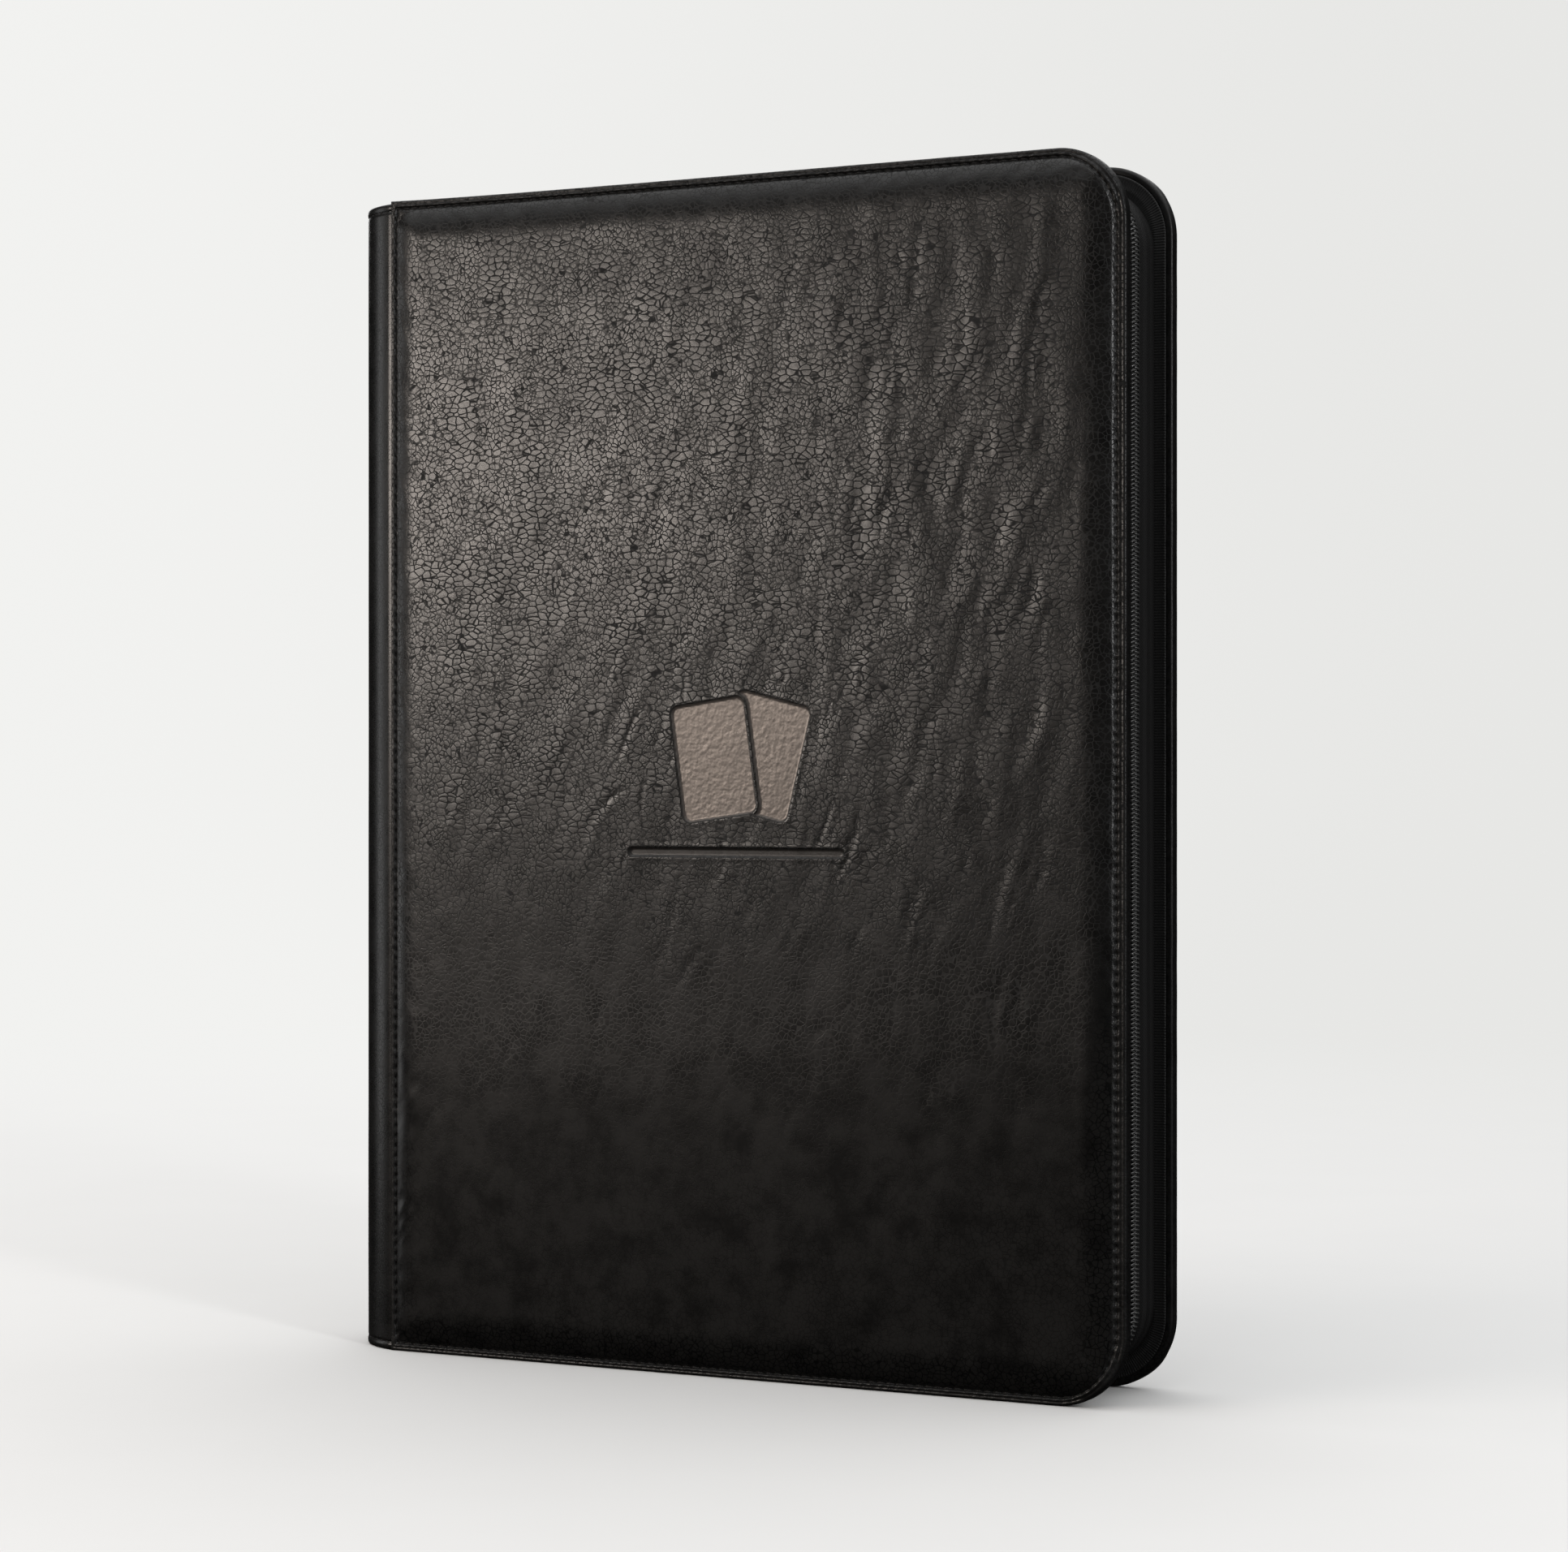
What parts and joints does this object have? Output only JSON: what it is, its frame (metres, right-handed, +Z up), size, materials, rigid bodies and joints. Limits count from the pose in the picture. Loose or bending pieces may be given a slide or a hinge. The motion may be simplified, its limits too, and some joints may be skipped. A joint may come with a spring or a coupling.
{
  "type": "zip-around card binder",
  "caption": "Padded zip-around binder for trading cards, with a rounded spine, side-loading pocket pages and a coil zip round three sides.",
  "frame": {"origin": "bottom centre of the whole binder, standing on its lower edge", "axes": "+X from the spine to the fore-edge, +Y from the front cover to the back cover, +Z up along the spine"},
  "size_m": [0.258, 0.045, 0.35],
  "materials": {
    "cover_leather": "semi-matt pebbled faux leather",
    "padding_foam": "matt foam",
    "cover_board": "matt grey board",
    "lining_cloth": "matt woven lining",
    "margin_grosgrain": "ribbed grosgrain",
    "thread": "twisted thread",
    "zip_tape_cloth": "herringbone tape",
    "zip_coil_nylon": "nylon coil",
    "zip_metal": "black lacquered metal",
    "spine_plastic": "matt sheet plastic",
    "page_film": "black backing under clear pocket film"
  },
  "bodies": {
    "spine": {"spine_wrap": "cover_leather", "spine_stiffener": "spine_plastic", "spine_lining": "lining_cloth", "spine_hem_stitching": "thread", "spine_gusset_top": "lining_cloth", "spine_gusset_bottom": "lining_cloth", "page_binding": "spine_plastic"},
    "front_cover": {"front_cover_skin": "cover_leather", "front_cover_foam": "padding_foam", "front_cover_board": "cover_board", "front_cover_lining": "lining_cloth", "front_margin_ribbon": "margin_grosgrain", "front_cover_stitching": "thread", "front_zip_tape": "zip_tape_cloth", "front_zip_coil": "zip_coil_nylon", "front_zip_top_stop": "zip_metal"},
    "back_cover": {"back_cover_skin": "cover_leather", "back_cover_foam": "padding_foam", "back_cover_board": "cover_board", "back_cover_lining": "lining_cloth", "back_margin_ribbon": "margin_grosgrain", "back_cover_stitching": "thread", "back_zip_tape": "zip_tape_cloth", "back_zip_coil": "zip_coil_nylon", "back_zip_top_stop": "zip_metal", "zip_bottom_stop": "zip_metal"},
    "zip_slider": {"zip_slider": "zip_metal"},
    "zip_pull": {"zip_pull": "zip_metal"},
    "page_01": {"page_01": "page_film"},
    "page_02": {"page_02": "page_film"},
    "page_03": {"page_03": "page_film"},
    "page_04": {"page_04": "page_film"},
    "page_05": {"page_05": "page_film"},
    "page_06": {"page_06": "page_film"},
    "page_07": {"page_07": "page_film"},
    "page_08": {"page_08": "page_film"},
    "page_09": {"page_09": "page_film"},
    "page_10": {"page_10": "page_film"},
    "page_11": {"page_11": "page_film"},
    "page_12": {"page_12": "page_film"},
    "page_13": {"page_13": "page_film"},
    "page_14": {"page_14": "page_film"},
    "page_15": {"page_15": "page_film"},
    "page_16": {"page_16": "page_film"},
    "page_17": {"page_17": "page_film"},
    "page_18": {"page_18": "page_film"},
    "page_19": {"page_19": "page_film"},
    "page_20": {"page_20": "page_film"}
  },
  "joints": [
    {"name": "front_cover_hinge", "type": "hinge", "parent": "spine", "child": "front_cover", "pos_m": [-0.112, -0.019, 0], "axis": [0, 0, -1], "range_deg": [0, 100]},
    {"name": "back_cover_hinge", "type": "hinge", "parent": "spine", "child": "back_cover", "pos_m": [-0.112, 0.019, 0], "axis": [0, 0, 1], "range_deg": [0, 100]},
    {"name": "zip_slide", "type": "slide", "parent": "back_cover", "child": "zip_slider", "axis": [1, 0, 0], "range_m": [0, 0.19]},
    {"name": "pull_swing", "type": "hinge", "parent": "zip_slider", "child": "zip_pull", "pos_m": [-0.093, 0, 0.3477], "axis": [0, -1, 0], "range_deg": [0, 130]},
    {"name": "page_01_hinge", "type": "hinge", "parent": "spine", "child": "page_01", "pos_m": [-0.104, -0.01425, 0], "axis": [0, 0, -1], "range_deg": [0, 93.5]},
    {"name": "page_02_hinge", "type": "hinge", "parent": "spine", "child": "page_02", "pos_m": [-0.10308, -0.01275, 0], "axis": [0, 0, -1], "range_deg": [0, 83.94]},
    {"name": "page_03_hinge", "type": "hinge", "parent": "spine", "child": "page_03", "pos_m": [-0.10226, -0.01125, 0], "axis": [0, 0, -1], "range_deg": [0, 74.39]},
    {"name": "page_04_hinge", "type": "hinge", "parent": "spine", "child": "page_04", "pos_m": [-0.10156, -0.00975, 0], "axis": [0, 0, -1], "range_deg": [0, 64.83]},
    {"name": "page_05_hinge", "type": "hinge", "parent": "spine", "child": "page_05", "pos_m": [-0.10096, -0.00825, 0], "axis": [0, 0, -1], "range_deg": [0, 55.28]},
    {"name": "page_06_hinge", "type": "hinge", "parent": "spine", "child": "page_06", "pos_m": [-0.10047, -0.00675, 0], "axis": [0, 0, -1], "range_deg": [0, 45.72]},
    {"name": "page_07_hinge", "type": "hinge", "parent": "spine", "child": "page_07", "pos_m": [-0.10009, -0.00525, 0], "axis": [0, 0, -1], "range_deg": [0, 36.17]},
    {"name": "page_08_hinge", "type": "hinge", "parent": "spine", "child": "page_08", "pos_m": [-0.09982, -0.00375, 0], "axis": [0, 0, -1], "range_deg": [0, 26.61]},
    {"name": "page_09_hinge", "type": "hinge", "parent": "spine", "child": "page_09", "pos_m": [-0.09965, -0.00225, 0], "axis": [0, 0, -1], "range_deg": [0, 17.06]},
    {"name": "page_10_hinge", "type": "hinge", "parent": "spine", "child": "page_10", "pos_m": [-0.0996, -0.00075, 0], "axis": [0, 0, -1], "range_deg": [0, 7.5]},
    {"name": "page_11_hinge", "type": "hinge", "parent": "spine", "child": "page_11", "pos_m": [-0.0996, 0.00075, 0], "axis": [0, 0, 1], "range_deg": [0, 7.5]},
    {"name": "page_12_hinge", "type": "hinge", "parent": "spine", "child": "page_12", "pos_m": [-0.09965, 0.00225, 0], "axis": [0, 0, 1], "range_deg": [0, 17.06]},
    {"name": "page_13_hinge", "type": "hinge", "parent": "spine", "child": "page_13", "pos_m": [-0.09982, 0.00375, 0], "axis": [0, 0, 1], "range_deg": [0, 26.61]},
    {"name": "page_14_hinge", "type": "hinge", "parent": "spine", "child": "page_14", "pos_m": [-0.10009, 0.00525, 0], "axis": [0, 0, 1], "range_deg": [0, 36.17]},
    {"name": "page_15_hinge", "type": "hinge", "parent": "spine", "child": "page_15", "pos_m": [-0.10047, 0.00675, 0], "axis": [0, 0, 1], "range_deg": [0, 45.72]},
    {"name": "page_16_hinge", "type": "hinge", "parent": "spine", "child": "page_16", "pos_m": [-0.10096, 0.00825, 0], "axis": [0, 0, 1], "range_deg": [0, 55.28]},
    {"name": "page_17_hinge", "type": "hinge", "parent": "spine", "child": "page_17", "pos_m": [-0.10156, 0.00975, 0], "axis": [0, 0, 1], "range_deg": [0, 64.83]},
    {"name": "page_18_hinge", "type": "hinge", "parent": "spine", "child": "page_18", "pos_m": [-0.10226, 0.01125, 0], "axis": [0, 0, 1], "range_deg": [0, 74.39]},
    {"name": "page_19_hinge", "type": "hinge", "parent": "spine", "child": "page_19", "pos_m": [-0.10308, 0.01275, 0], "axis": [0, 0, 1], "range_deg": [0, 83.94]},
    {"name": "page_20_hinge", "type": "hinge", "parent": "spine", "child": "page_20", "pos_m": [-0.104, 0.01425, 0], "axis": [0, 0, 1], "range_deg": [0, 93.5]}
  ],
  "couplings": [
    {"joint": "page_01_hinge", "follows": "front_cover_hinge", "ratio": 0.93},
    {"joint": "page_02_hinge", "follows": "front_cover_hinge", "ratio": 0.8344},
    {"joint": "page_03_hinge", "follows": "front_cover_hinge", "ratio": 0.7389},
    {"joint": "page_04_hinge", "follows": "front_cover_hinge", "ratio": 0.6433},
    {"joint": "page_05_hinge", "follows": "front_cover_hinge", "ratio": 0.5478},
    {"joint": "page_06_hinge", "follows": "front_cover_hinge", "ratio": 0.4522},
    {"joint": "page_07_hinge", "follows": "front_cover_hinge", "ratio": 0.3567},
    {"joint": "page_08_hinge", "follows": "front_cover_hinge", "ratio": 0.2611},
    {"joint": "page_09_hinge", "follows": "front_cover_hinge", "ratio": 0.1656},
    {"joint": "page_10_hinge", "follows": "front_cover_hinge", "ratio": 0.07},
    {"joint": "page_11_hinge", "follows": "back_cover_hinge", "ratio": 0.07},
    {"joint": "page_12_hinge", "follows": "back_cover_hinge", "ratio": 0.1656},
    {"joint": "page_13_hinge", "follows": "back_cover_hinge", "ratio": 0.2611},
    {"joint": "page_14_hinge", "follows": "back_cover_hinge", "ratio": 0.3567},
    {"joint": "page_15_hinge", "follows": "back_cover_hinge", "ratio": 0.4522},
    {"joint": "page_16_hinge", "follows": "back_cover_hinge", "ratio": 0.5478},
    {"joint": "page_17_hinge", "follows": "back_cover_hinge", "ratio": 0.6433},
    {"joint": "page_18_hinge", "follows": "back_cover_hinge", "ratio": 0.7389},
    {"joint": "page_19_hinge", "follows": "back_cover_hinge", "ratio": 0.8344},
    {"joint": "page_20_hinge", "follows": "back_cover_hinge", "ratio": 0.93}
  ]
}
